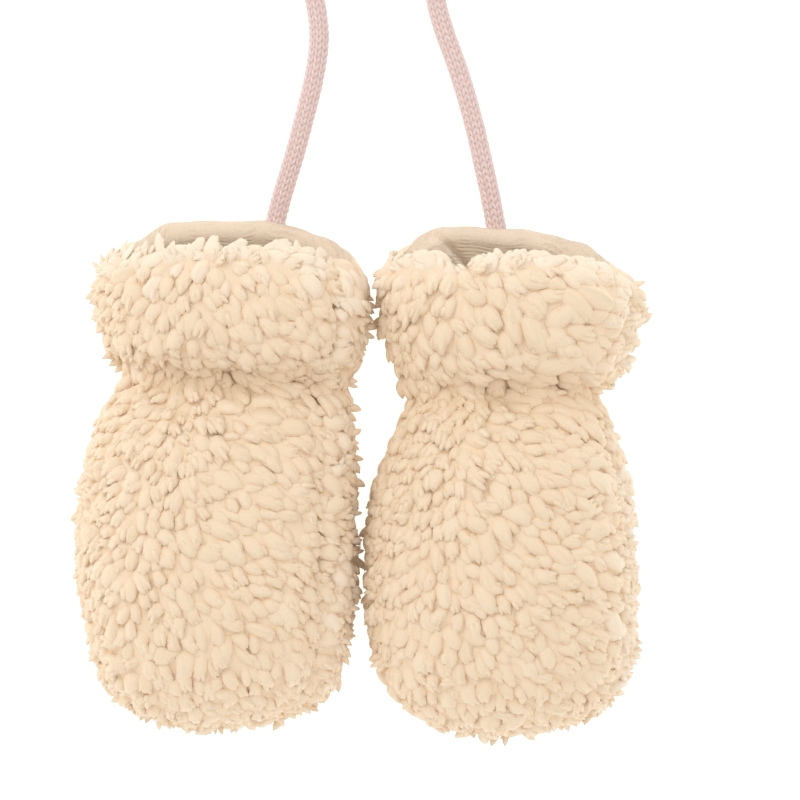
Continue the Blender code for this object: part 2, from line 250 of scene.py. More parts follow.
# How far a lock's tone shifts its fibres' noise, so that no two locks match.
TONE_SHIFT = 40
LEAFLET_SHIFT = 7.0

# The grids on a panel: their rows as stretches, each with its first place, its last place and how
# many rows, then how many columns, and how far these keep from the seams, in radians.
LINING_GRIDS = {
    "front": (((0.08, 3.0, 22), (3.4, 14.8, 22)), 61, 0.006),
    "back": (((0.24, 3.0, 22), (3.4, 14.8, 22)), 61, 0.006),
}
BACKING_GRID = (((0.02, 1.0, 6), (1.2, 14.85, 44)), 45, 0.004)
BED_GRID = (((0.1, 1.0, 5), (1.2, 14.8, 48)), 44, 0.006)
ROOT_GRID = (((0.0, 14.96, 300),), 200, 0.0)
CUT_GRID = (((0.0, 14.99, 200),), 120, 0.0)
# The skin's rows, in the same way, and its columns all round.
SKIN_ROWS = ((0.0, 14.0, 200), (14.03, 14.98, 40))
SKIN_COLUMNS = 240
# How uneven the bed is, and how far its top and its floor keep from the backing.
BED_ROUGHNESS = 0.22 * MM
BED_LEAST = 0.4 * MM
BED_CLEAR = 0.1 * MM
# In the cut the wrist is let out to this share of the cuff's width.
LET_OUT = 0.97

# How the lining rolls over the back rim, from outside to inside: place and depth in millimetres
# of its face, then of its back.
ROLL = (
    (0.10, 3.4, 0.10, 4.5), (-0.06, 3.8, 0.00, 4.9), (-0.18, 4.8, -0.08, 5.6),
    (-0.27, 6.4, -0.14, 6.7), (-0.29, 8.3, -0.15, 8.0), (-0.22, 10.2, -0.11, 8.8),
    (-0.08, 11.9, -0.02, 9.2), (0.08, 12.8, 0.10, 9.0), (0.24, 12.8, 0.24, 7.9),
)
# Where the left mitten's roll droops, from its axis, and the half width of that stretch.
DROOP_X = 33 * MM
DROOP_WIDTH = 11 * MM
# How far the plush puffs up inside the back rim.
PUFF = 3.6 * MM
# At its rim the front lining swells out to the backing, where the two are sewn together.
RIM_SWELL = 1.2 * MM
# Over these places the puff and the swell fade.
PUFF_SPAN = (0.6, 2.6)
SWELL_SPAN = (0.3, 0.9)
# The lining's fold at the right mouth, a line in millimetres, and how high its left side stands.
FOLD = ((24.1, 67.6), (29.2, 61.9))
FOLD_HEIGHT = 3.8 * MM
# The front rim dips where that fold shows: the middle and the half width of the dip.
DIP_X = 29.0 * MM
DIP_WIDTH = 4.4 * MM
DIP_SPAN = (0.0, 1.2)

# The cord's route, in millimetres: each strand from its rim to the coil.
LEFT_ROUTE = (
    (-24.1, 74.6, 3.9), (-22.9, 79.5, 3.5), (-21.3, 85.0, 3.2), (-18.9, 93.0, 3.1),
    (-16.5, 102.0, 3.1), (-14.2, 111.0, 3.1), (-12.5, 119.5, 3.1), (-11.8, 128.0, 3.1),
    (-12.9, 137.0, 3.1), (-15.4, 146.0, 3.1), (-19.6, 155.0, 3.1), (-24.4, 163.5, 3.1),
)
RIGHT_ROUTE = (
    (39.1, 72.4, 3.9), (38.2, 77.5, 3.5), (37.0, 83.5, 3.2), (34.9, 93.0, 3.1),
    (32.8, 102.0, 3.1), (30.3, 111.0, 3.1), (27.6, 119.5, 3.1), (24.5, 128.0, 3.1),
    (22.0, 137.0, 3.1), (21.6, 146.0, 3.1), (23.9, 155.0, 3.5), (27.8, 163.5, 5.3),
)
# Inside the rims, between lining and shell.
LEFT_END = ((-26.3, 66.6, 4.2), (-25.2, 70.6, 4.1))
RIGHT_END = ((40.9, 64.4, 4.2), (40.0, 68.4, 4.1))
COIL_CENTRE = (1.0, 198.0)
# The coil's line, clockwise: degrees turned, distance from the middle and height in millimetres.
COIL_START = 224.0
COIL_LINE = (
    (0, 40.4, 3.1), (80, 34, 3.1), (360, 34, 3.1), (440, 28, 3.1), (610, 28, 3.1),
    (700, 31, 8.4), (880, 31, 8.4), (925, 34, 9.1), (955, 37, 8.6), (987, 40.5, 7.4),
)
COIL_STEP = 10.0

# A stitch's leg, from its start to its end: how far along, how thick, and how high, in half
# millimetres, or in 0.9 of one at its ends. It starts and reaches so many rows on, and leans from
# the first share of a column to that and the second. Its yarn's middle line lies so deep.
LEG_ALONG = np.array((0.0, 0.14, 0.5, 0.84, 1.0))
LEG_THICK = np.array((0.0, 0.66, 1.0, 0.72, 0.0))
LEG_RISE = np.array((-0.30, -0.08, 0.0, -0.08, -0.42))
LEG_SIDES = 4
LEG_START = 0.05
LEG_REACH = 1.5
LEG_LEAN = (0.09, 0.30)
LEG_STRAY = 0.04 * MM
YARN = 0.56 * MM
YARN_GIRTHS = (0.92, 1.08)
YARN_DEPTH = 0.52 * MM
CORE_SIDES = 10
CORE_RINGS = 420

# The camera looks straight down on this place, and the view's width holds at this height.
LOOK_AT = (11.5 * MM, 22.6 * MM)
VIEW_LEVEL = 15 * MM
# The floor is this far from the middle to each side, and this far under the surface.
FLOOR_HALF = 3.0
FLOOR_DROP = 0.05 * MM
# The lights: name, place in metres, size and power.
LIGHTS = (("window", (-1.0, 1.0, 1.1), 1.0, 6.0), ("fill", (1.2, -0.3, 1.2), 1.4, 1.5))


def unit(vectors):
    length = np.linalg.norm(vectors, axis=-1, keepdims=True)
    return vectors / np.maximum(length, 1e-12)


def smooth(low, high, value):
    share = np.clip((value - low) / (high - low), 0, 1)
    return share * share * (3 - 2 * share)


def spline(points, place):
    """The smooth curve through the points, at places counted in points, and its direction there."""
    last = len(points) - 1
    place = np.asarray(place, dtype=float)
    index = np.clip(np.floor(place), 0, last - 1).astype(int)
    part = np.clip(place - index, 0, 1)[..., None]
    outside = place[..., None] - index[..., None] - part
    run = np.vstack((2 * points[0] - points[1], points, 2 * points[-1] - points[-2]))
    before, start, end, after = (run[index + i] for i in range(4))
    slope_in = (end - before) / 2
    slope_out = (after - start) / 2
    rise = end - start
    bend = 3 * rise - 2 * slope_in - slope_out
    twist = slope_in + slope_out - 2 * rise
    point = start + part * (slope_in + part * (bend + part * twist))
    direction = slope_in + part * (2 * bend + 3 * part * twist)
    return point + outside * direction, direction


def stretched_rows(stretches):
    """The places of a mesh's rows, from stretches: first place, last place, how many rows."""
    return np.concatenate([np.linspace(*stretch) for stretch in stretches])


def pressed(depth):
    """A depth on the underside, where the mitten's weight presses the pile."""
    return depth - np.minimum(depth, PILE_WALL) * (1 - SOLE_SHARE)


class Form:
    """The rounded form of one mitten, on which its solids were made too."""

    def __init__(self, mitten):
        self.mitten = mitten
        left_x, left_y, right_x, right_y = (np.array(mitten.outline) * MM).T
        crown_z, sole_z = (np.array(HEIGHTS) * MM).T
        rises = np.zeros((len(HEIGHTS), 2))
        rises[: len(mitten.rises)] = mitten.rises
        front_rise, back_rise = (rises * MM).T
        left_x = left_x + mitten.axis_x
        right_x = right_x + mitten.axis_x
        edge = np.full(len(HEIGHTS), EDGE_Z)
        middle_x = (left_x + right_x) / 2
        middle_y = (left_y + right_y) / 2
        lines = {
            "left": np.column_stack((left_x, left_y, edge)),
            "right": np.column_stack((right_x, right_y, edge)),
            "crown": np.column_stack((middle_x, middle_y + front_rise, crown_z)),
            "sole": np.column_stack((middle_x, middle_y + back_rise, sole_z)),
        }
        opposite = {"left": "right", "right": "left", "crown": "sole", "sole": "crown"}
        self.lines = {
            name: np.vstack((line, lines[opposite[name]][-2])) for name, line in lines.items()
        }
        self.spans = {
            "front": (mitten.right_seam, mitten.left_seam),
            "back": (mitten.left_seam, mitten.right_seam + math.tau),
        }

    def point(self, place, angle, depth):
        """Points of the form at places along it, angles round it and depths in its cloth."""
        place, angle, depth = np.broadcast_arrays(place, angle, depth)
        rails = []
        for name, first, hand in RAILS:
            line, along = spline(self.lines[name], place)
            inwards = np.zeros_like(along)
            inwards[..., first] = -hand * along[..., first + 1]
            inwards[..., first + 1] = hand * along[..., first]
            deep = pressed(depth) if name == "sole" else depth
            rails.append(line + deep[..., None] * unit(inwards))
        left, right, crown, sole = rails
        across = np.cos(angle)
        over = np.sin(angle)
        above = over >= 0
        power = np.where(above, CROWN_POWER, SOLE_POWER)
        pole = np.where(above[..., None], crown, sole)
        share_across = np.copysign(np.abs(across) ** (2 / power), across)[..., None]
        share_over = (np.abs(over) ** (2 / power))[..., None]
        middle = (left + right) / 2
        point = middle + share_across * (right - left) / 2 + share_over * (pole - middle)
        point[..., 2] = np.maximum(point[..., 2], pressed(depth))
        return point

    def skin_depth(self, place, angle):
        """How deep the tips of the pile lie: rounded at the lip, drawn in at wrist and seams."""
        wrist, dips = self.creases(place, angle)
        lip = LIP_ROUND * np.maximum(0.0, 1 - place / (3 * LIP_LEVEL)) ** 2
        gather = GATHER_DEPTH * np.exp(-(((place - CREASE_LEVEL) / GATHER_REACH) ** 2))
        wave = 0.5 - 0.5 * np.cos(GATHERS * angle)
        return lip + gather * wave + SEAM_DIP * dips + WRIST_DIP * wrist * np.sin(angle) ** 2

    def creases(self, place, angle):
        """How near places are to the crease at the wrist and to a side seam, from 0 to 1."""
        wrist = np.exp(-(((place - WRIST_LINE) / WRIST_DIP_WIDTH) ** 2))
        seams = (self.mitten.right_seam, self.mitten.left_seam, self.mitten.right_seam + math.tau)
        dips = sum(np.exp(-(((angle - seam) / SEAM_DIP_WIDTH) ** 2)) for seam in seams)
        return wrist, dips

    def dipped(self, points, place, side):
        """The points with the dip in the front rim."""
        if side == "front":
            share = np.exp(-(((points[..., 0] - DIP_X) / DIP_WIDTH) ** 2))
            points = points.copy()
            points[..., 1] -= self.mitten.dip * share * (1 - smooth(*DIP_SPAN, place))
        return points

    def grid(self, side, stretches, columns, margin):
        """Places and angles of a panel's rows and columns, kept clear of its seams."""
        start, end = self.spans[side]
        angles = np.linspace(start + margin, end - margin, columns)
        return np.meshgrid(stretched_rows(stretches), angles, indexing="ij")

    def layers(self, side, place, angle, depths):
        """A panel's surface at each depth, with the dip in the front rim."""
        return [self.dipped(self.point(place, angle, depth), place, side) for depth in depths]

    def tips(self, side, depths, apart=GAP / 2):
        """Where a panel's surfaces end at the mitten's tip, just apart from the other panel's."""
        middle = sum(self.spans[side]) / 2
        part = apart * np.array((math.cos(middle), 0, math.sin(middle)))
        return [self.lines["left"][-2] + (0, depth, 0) + part for depth in depths]

    def cut(self, side, depth):
        """The flat width and length of a panel's cut, and its area: the form rolled out, with the
        wrist's narrowing let out, because the elastic gathers it there."""
        place, angle = self.grid(side, *CUT_GRID)
        grid = self.point(place, angle, depth)
        places = place[:, 0]
        widths = np.linalg.norm(np.diff(grid, axis=1), axis=2).sum(1)
        steps = np.linalg.norm(np.diff(grid[:, grid.shape[1] // 2], axis=0), axis=1)
        cuff = widths[places < CREASE_LEVEL].max()
        let_out = places < CREASE_LEVEL + 2
        widths[let_out] = np.maximum(widths[let_out], LET_OUT * cuff)
        area = float(((widths[1:] + widths[:-1]) / 2 * steps).sum())
        return (round(float(widths.max()), 3), round(float(steps.sum()), 3)), round(area, 5)

    def nap(self, points, side, place):
        """Which way the pile is brushed at points, in plan, and how large its locks are there."""
        table = np.array(self.mitten.nap, dtype=float)
        spots = table[:, :2] * MM + (self.mitten.axis_x, 0.0)
        turn = np.radians(table[:, 2])
        apart = points[:, None, :2] - spots[None]
        weight = np.exp(-(apart**2).sum(-1) / (2 * NAP_REACH**2)) + 1e-9
        weight = weight / weight.sum(1, keepdims=True)
        flow = np.column_stack((weight @ np.cos(turn), weight @ np.sin(turn), weight @ (0 * turn)))
        size = weight @ table[:, 3]
        sideways = (points[:, :1] - self.mitten.axis_x) / (50 * MM)
        ones = np.ones_like(sideways)
        if side == "back":
            under = 1 - smooth(*UNDERSIDE, points[:, 2:3])
            below = np.column_stack((sideways, -ones, 0 * ones))
            return under * below + (1 - under) * flow, size
        rim = 1 - smooth(*RIM_BAND, place)[:, None]
        flow = (1 - rim) * flow + rim * np.column_stack((1.6 * sideways, ones, 0 * ones))
        return flow, size * (1 - 0.28 * rim[:, 0])


def mesh_piece(name, points, faces, layers=None):
    """A mesh object from an array of points and a list of face arrays, with point attributes."""
    data = bpy.data.meshes.new(name)
    data.vertices.add(len(points))
    data.vertices.foreach_set("co", np.asarray(points, dtype=np.float32).ravel())
    loops = np.concatenate([part.ravel() for part in faces]).astype(np.int32)
    counts = np.concatenate([np.full(len(part), part.shape[1]) for part in faces])
    starts = np.concatenate(((0,), np.cumsum(counts)[:-1])).astype(np.int32)
    data.loops.add(len(loops))
    data.loops.foreach_set("vertex_index", loops)
    data.polygons.add(len(counts))
    data.polygons.foreach_set("loop_start", starts)
    data.update(calc_edges=True)
    for layer, values in (layers or {}).items():
        attribute = data.attributes.new(layer, "FLOAT_VECTOR", "POINT")
        attribute.data.foreach_set("vector", np.asarray(values, dtype=np.float32).ravel())
    data.validate()
    data.shade_smooth()
    piece = bpy.data.objects.new(name, data)
    bpy.context.scene.collection.objects.link(piece)
    return piece


def sheet_mesh(outer, inner, tips, first=0):
    """Points and faces of a thin closed sheet between two grids that end in a point each."""
    rows, columns = outer.shape[:2]
    count = rows * columns
    points = np.vstack((outer.reshape(-1, 3), inner.reshape(-1, 3), np.array(tips)))
    corner = first + np.arange(count).reshape(rows, columns)
    low = first + 2 * count
    faces = []
    for grid, end, turn in ((corner, low, -1), (corner + count, low + 1, 1)):
        quads = np.stack((grid[:-1, :-1], grid[:-1, 1:], grid[1:, 1:], grid[1:, :-1]), -1)
        faces.append(quads.reshape(-1, 4)[:, ::turn])
        fan = np.column_stack((grid[-1, :-1], grid[-1, 1:], np.full(columns - 1, end)))
        faces.append(fan[:, ::turn])
    rim = corner[0]
    faces.append(np.column_stack((rim[:-1], rim[1:], rim[1:] + count, rim[:-1] + count)))
    for column, turn in ((0, -1), (-1, 1)):
        line = np.append(corner[:, column], low)
        other = np.append(corner[:, column] + count, low + 1)
        strip = np.column_stack((line[:-1], line[1:], other[1:], other[:-1]))
        faces.append(strip[:, ::turn])
    return points, faces


def leaf_faces(count, rings, sides, first=0):
    """Faces of closed leaves of so many rings each. Their last two points are root and tip."""
    each = rings * sides + 2
    offset = first + each * np.arange(count)[:, None, None]
    corner = np.arange(rings * sides).reshape(rings, sides)
    after = np.roll(corner, -1, axis=1)
    quads = np.stack((corner[:-1], after[:-1], after[1:], corner[1:]), -1).reshape(-1, 4)
    root = np.column_stack((after[0], corner[0], np.full(sides, each - 2)))
    tip = np.column_stack((corner[-1], after[-1], np.full(sides, each - 1)))
    caps = np.vstack((root, tip))
    return [(offset + quads).reshape(-1, 4), (offset + caps).reshape(-1, 3)]


def oval(sides):
    """How far the corners of a leaf's section stand to the side and up."""
    ring = math.tau * (np.arange(sides) + 0.5) / sides
    up = np.sin(ring)
    return np.cos(ring), np.copysign(np.abs(up) ** LEAF_EDGE, up)


def travelled(grid, axis):
    """How far each point of a grid is along one way of it from where that way starts."""
    step = np.linalg.norm(np.diff(grid, axis=axis), axis=2)
    return np.concatenate((np.zeros_like(step.take([0], axis)), np.cumsum(step, axis)), axis)


def laid(flow, normal):
    """The way along the skin for a way in plan, and how flat that is, from 0 to 1."""
    lean = flow - (flow * normal).sum(1, keepdims=True) * normal
    return unit(lean), np.minimum(np.linalg.norm(lean, axis=1), 1.0)


def tinted(colour, share=1.0):
    """A colour times a share, or times one for each channel, none of them over 1."""
    return tuple(float(c) for c in np.minimum(1.0, np.array(colour) * share))


class Value:
    """A node's output socket, on which sums can be written as Python expressions."""

    def __init__(self, graph, socket):
        self.graph = graph
        self.socket = socket

    def _math(self, operation, first, second):
        settings = {"operation": operation}
        return self.graph.add("ShaderNodeMath", settings, {0: first, 1: second})

    def __add__(self, other):
        return self._math("ADD", self, other)

    def __sub__(self, other):
        return self._math("SUBTRACT", self, other)

    def __rsub__(self, other):
        return self._math("SUBTRACT", other, self)

    def __mul__(self, other):
        return self._math("MULTIPLY", self, other)

    def __truediv__(self, other):
        return self._math("DIVIDE", self, other)

    def clamped(self):
        return self._math("MINIMUM", self._math("MAXIMUM", self, 0.0), 1.0)


class Graph:
    """The node tree of one material."""

    def __init__(self, name):
        self.material = bpy.data.materials.new(name)
        self.material.use_nodes = True
        self.tree = self.material.node_tree
        self.shader = self.tree.nodes["Principled BSDF"]

    def add(self, kind, settings, sockets, output=0):
        """A node of a kind, with its settings set first, then its sockets set or linked."""
        node = self.tree.nodes.new(kind)
        for name, value in settings.items():
            setattr(node, name, value)
        self.fill(node, sockets)
        return Value(self, node.outputs[output])

    def fill(self, node, sockets):
        for name, value in sockets.items():
            socket = node.inputs[name]
            if isinstance(value, Value):
                self.tree.links.new(value.socket, socket)
            elif socket.type == "RGBA":
                socket.default_value = (*value, 1.0)
            else:
                socket.default_value = value

    def mix(self, factor, first, second):
        """Two colours mixed by a factor."""
        sockets = {0: factor, 6: first, 7: second}
        return self.add("ShaderNodeMix", {"data_type": "RGBA"}, sockets, 2)

    def stretched(self, vector, by):
        """A vector with its three numbers multiplied."""
        return self.add("ShaderNodeVectorMath", {"operation": "MULTIPLY"}, {0: vector, 1: by})

    def attribute(self, name):
        """The three numbers of a point attribute, and the whole of it as a vector."""
        vector = self.add("ShaderNodeAttribute", {"attribute_name": name}, {}, 1)
        node = self.tree.nodes.new("ShaderNodeSeparateXYZ")
        self.tree.links.new(vector.socket, node.inputs[0])
        return [Value(self, socket) for socket in node.outputs] + [vector]

    def object_place(self):
        return self.add("ShaderNodeTexCoord", {}, {}, 3)

    def noise(self, vector, scale, detail, roughness=0.5):
        sockets = {"Vector": vector, "Scale": scale, "Detail": detail, "Roughness": roughness}
        return self.add("ShaderNodeTexNoise", {}, sockets)

    def cloth(
        self, base, height, distance, strength=1.0,
        specular=0.1, sheen=0.25, sheen_roughness=0.5, sheen_tint=(1.0, 1.0, 1.0),
    ):
        """Returns the material, made a matt cloth of a base colour and bumped by a height."""
        bump = {"Height": height, "Distance": distance, "Strength": strength}
        sockets = {
            "Base Color": base,
            "Normal": self.add("ShaderNodeBump", {}, bump),
            "Roughness": 0.95,
            "Specular IOR Level": specular,
            "Sheen Weight": sheen,
            "Sheen Roughness": sheen_roughness,
            "Sheen Tint": sheen_tint,
        }
        self.fill(self.shader, sockets)
        return self.material


def length_setting(name, description, default, **limits):
    return bpy.props.FloatProperty(
        name=name, description=description, default=default, unit="LENGTH", **limits
    )


def colour_setting(name, description, default):
    return bpy.props.FloatVectorProperty(
        name=name, description=description, default=default, subtype="COLOR"
    )


class PileSettings(bpy.types.PropertyGroup):
    """Sizes and colours of the teddy cloth."""

    spacing: length_setting(
        "Lock spacing", "Least distance between the roots of two locks", 3.45 * MM, min=2 * MM
    )
    length: length_setting("Lock length", "How far a lock leans along the cloth", 10.8 * MM)
    width: length_setting("Lock width", "Width of a lock at its widest", 5.3 * MM)
    thickness: length_setting("Lock thickness", "Thickness of a lock at its widest", 3.7 * MM)
    tip_colour: colour_setting(
        "Tip colour", "Colour of the pile at its tips", (0.88, 0.705, 0.505)
    )
    # Painted light: the roots, deep in the crevices, are lighter than the tips, to stand for light
    # shining through the fibres. The backing takes this colour too.
    root_painted_light_colour: colour_setting(
        "Root colour", "Colour of the pile at its roots", (1.0, 0.82, 0.61)
    )


class LiningSettings(bpy.types.PropertyGroup):
    """Colour and ribs of the plush lining."""

    colour: colour_setting("Plush colour", "Colour of the lining", (0.95, 0.80, 0.635))
    rib: length_setting(
        "Rib distance", "Distance between the fine ribs that run round the lining", 1.1 * MM
    )


class CordSettings(bpy.types.PropertyGroup):
    """Sizes and colour of the knitted cord."""

    diameter: length_setting("Cord diameter", "Outer diameter of the knitted tube", 6.0 * MM)
    row: length_setting("Row height", "Distance from one row of stitches to the next", 2.0 * MM)
    wales: bpy.props.IntProperty(
        name="Wales", description="Columns of stitches round the cord", default=8, min=4
    )
    colour: colour_setting("Yarn colour", "Colour of the yarn", (0.92, 0.76, 0.72))


class StageSettings(bpy.types.PropertyGroup):
    """Camera, floor and lights."""

    view_width: length_setting(
        "View width", "Width that the camera sees at the height of the mittens' edges", 228 * MM
    )
    camera_height: length_setting(
        "Camera height", "Height of the camera over that level", 1.2
    )
    floor_colour: colour_setting("Floor colour", "Colour of the floor", (0.80, 0.80, 0.80))
    floor_glow: bpy.props.FloatProperty(
        name="Floor glow",
        description="How strongly the floor, a light table, is lit from below",
        default=0.85,
        min=0.0,
    )


def finish_piece(piece, material, slot, *replaced):
    """Gives a piece its material, hangs it under the root body and hides the solids that it
    replaces; the slot is not used.
    """
    piece.data.materials.append(material)
    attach(piece, "root")
    if replaced:
        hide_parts(*replaced)


class MITTENS_OT_stage(bpy.types.Operator):
    """Sets up the camera, the floor and the lights"""

    bl_idname = "mittens.stage"
    bl_label = "Camera, floor and lights"

    def execute(self, context):
        scene = context.scene
        settings = scene.mittens_stage
        camera = bpy.data.cameras.new("camera")
        camera.sensor_width = 36.0
        camera.lens = camera.sensor_width * settings.camera_height / settings.view_width
        camera.clip_start = 0.01
        camera.clip_end = 20.0
        eye = bpy.data.objects.new("camera", camera)
        eye.location = (*LOOK_AT, settings.camera_height + VIEW_LEVEL)
        scene.collection.objects.link(eye)
        scene.camera = eye
        scene.view_settings.view_transform = "Standard"
        self.make_floor(settings)
        self.make_lights(scene)
        return {"FINISHED"}

    def make_floor(self, settings):
        corners = FLOOR_HALF * np.array(((-1, -1, 0), (1, -1, 0), (1, 1, 0), (-1, 1, 0)))
        floor = mesh_piece("floor", corners - (0, 0, FLOOR_DROP), [np.array(((0, 1, 2, 3),))])
        graph = Graph("floor")
        colour = tinted(settings.floor_colour)
        sockets = {"Base Color": colour, "Roughness": 0.9, "Specular IOR Level": 0.0}
        graph.fill(graph.shader, sockets)
        glow = {"Emission Color": colour, "Emission Strength": settings.floor_glow}
        graph.fill(graph.shader, glow)
        floor.data.materials.append(graph.material)

    def make_lights(self, scene):
        world = bpy.data.worlds.new("soft room")
        world.use_nodes = True
        background = world.node_tree.nodes["Background"]
        background.inputs["Color"].default_value = (1.0, 0.99, 0.98, 1.0)
        background.inputs["Strength"].default_value = 0.92
        scene.world = world
        for name, place, size, power in LIGHTS:
            light = bpy.data.lights.new(name, "AREA")
            light.size = size
            light.energy = power
            lamp = bpy.data.objects.new(name, light)
            lamp.location = place
            lamp.rotation_euler = (-Vector(place)).to_track_quat("-Z", "Y").to_euler()
            scene.collection.objects.link(lamp)


class MITTENS_OT_cord(bpy.types.Operator):
    """Knits the cord along its route, with its spare length wound into a coil"""

    bl_idname = "mittens.cord"
    bl_label = "Knitted cord"

    def execute(self, context):
        settings = context.scene.mittens_cord
        self.settings = settings
        line, length = self.centre_line()
        radius = settings.diameter / 2
        rows = int(length / settings.row)
        points, faces, layer = self.stitches(rows, radius)
        core_points, core_faces, core_layer = self.core(length, 0.84 * radius, len(points))
        piece = mesh_piece(
            "knitted_cord",
            np.vstack((points, core_points)),
            faces + core_faces,
            {"knit": np.vstack((layer, core_layer))},
        )
        finish_piece(
            piece, self.material(settings), "knitted_cord", "cord_left", "cord_right", "cord_coil"
        )
        return {"FINISHED"}

    def centre_line(self):
        """The cord's centreline in equal steps, with a frame that doesn't twist."""
        turned, away, height = np.array(COIL_LINE, dtype=float).T
        steps = np.arange(0.0, turned[-1] + 0.1, COIL_STEP)
        table = np.column_stack((turned, away, height))
        share = np.interp(steps, turned, np.arange(len(turned)))
        whole = np.clip(np.floor(share).astype(int), 0, len(turned) - 2)
        part = smooth(0, 1, share - whole)[:, None]
        ring = table[whole] * (1 - part) + table[whole + 1] * part
        angle = np.radians(COIL_START - steps)
        coil = np.column_stack(
            (
                COIL_CENTRE[0] + ring[:, 1] * np.cos(angle),
                COIL_CENTRE[1] + ring[:, 1] * np.sin(angle),
                ring[:, 2],
            )
        )
        route = np.vstack((LEFT_END, LEFT_ROUTE, coil, RIGHT_ROUTE[::-1], RIGHT_END[::-1])) * MM
        dense, _ = spline(route, np.linspace(0, len(route) - 1, 6000))
        step = np.linalg.norm(np.diff(dense, axis=0), axis=1)
        run = np.concatenate(((0,), np.cumsum(step)))
        length = run[-1]
        self.run = np.linspace(0, length, 1500)
        self.line = np.column_stack([np.interp(self.run, run, dense[:, i]) for i in range(3)])
        along = unit(np.gradient(self.line, axis=0))
        self.side = unit(np.cross(along, (0.0, 0.0, 1.0)))
        self.up = np.cross(self.side, along)
        return self.line[::8], length

    def place(self, run, angle, away):
        """Points at lengths along the cord, angles round it and distances from its middle."""
        centre, side, up = (
            np.stack([np.interp(run, self.run, part[:, i]) for i in range(3)], -1)
            for part in (self.line, self.side, self.up)
        )
        turn = np.cos(angle)[..., None] * side + np.sin(angle)[..., None] * up
        return centre + away[..., None] * turn

    def stitches(self, rows, radius):
        """Two slanting legs for each stitch, a small spindle each, in columns round the cord."""
        settings = self.settings
        random = np.random.default_rng(5)
        legs = np.meshgrid(np.arange(rows), np.arange(settings.wales), (-1.0, 1.0), indexing="ij")
        row, column, hand = (part.ravel()[:, None] for part in legs)
        count = len(row)
        yarn = YARN * random.uniform(*YARN_GIRTHS, count)
        run = (row + LEG_START) * settings.row + LEG_REACH * settings.row * LEG_ALONG
        run = run + random.normal(0, LEG_STRAY, (count, 1))
        lean = LEG_LEAN[0] + LEG_LEAN[1] * smooth(0, 1, LEG_ALONG)
        turn = math.tau / settings.wales * (column + hand * lean)
        middle = radius - YARN_DEPTH
        ring = math.tau * np.arange(LEG_SIDES) / LEG_SIDES
        swell = yarn[:, None, None] * LEG_THICK[1:4, None]
        angle = turn[:, 1:4, None] + swell * np.cos(ring) / middle
        away = middle + 0.5 * MM * LEG_RISE[1:4, None] + swell * np.sin(ring)
        body = self.place(np.broadcast_to(run[:, 1:4, None], angle.shape), angle, away)
        low = middle + 0.9 * MM * LEG_RISE[[0, 4]]
        ends = self.place(run[:, [0, 4]], turn[:, [0, 4]], low)
        points = np.concatenate((body.reshape(count, -1, 3), ends), axis=1)
        layer = np.zeros(points.shape)
        # The first number is how high a point stands, from which the material paints shade into the
        # low places.
        layer[:, :-2, 0] = (away.reshape(count, -1) - (radius - MM)) / MM
        layer[:, :, 1] = random.uniform(0, 1, (count, 1))
        layer[:, :-2, 2] = np.repeat(LEG_ALONG[1:4], LEG_SIDES)
        layer[:, -1, 2] = 1.0
        return points.reshape(-1, 3), leaf_faces(count, 3, LEG_SIDES), layer.reshape(-1, 3)

    def core(self, length, radius, first):
        """The plain tube behind the stitches."""
        ring = math.tau * np.arange(CORE_SIDES) / CORE_SIDES
        run, angle = np.meshgrid(np.linspace(0, length, CORE_RINGS), ring, indexing="ij")
        body = self.place(run, angle, np.full_like(run, radius))
        points = np.vstack((body.reshape(-1, 3), self.line[[0, -1]]))
        return points, leaf_faces(1, CORE_RINGS, CORE_SIDES, first), np.zeros(points.shape)

    def material(self, settings):
        graph = Graph("knitted_cord")
        high, chance, _, _ = graph.attribute("knit")
        colour = tinted(settings.colour)
        # Painted shade: the yarn's low points between the stitches, and the core behind them, take
        # this darker colour.
        deep = tinted(colour, (0.80, 0.71, 0.70))
        base = graph.mix((chance * 0.6).clamped(), colour, tinted(colour, 1.07))
        base = graph.mix((1 - high * 1.1).clamped(), base, deep)
        fibre = graph.noise(graph.object_place(), 2400.0, 3.0, 0.6)
        base = graph.mix((fibre * 0.25).clamped(), base, deep)
        return graph.cloth(base, fibre, 0.25 * MM, 0.6, specular=0.15)


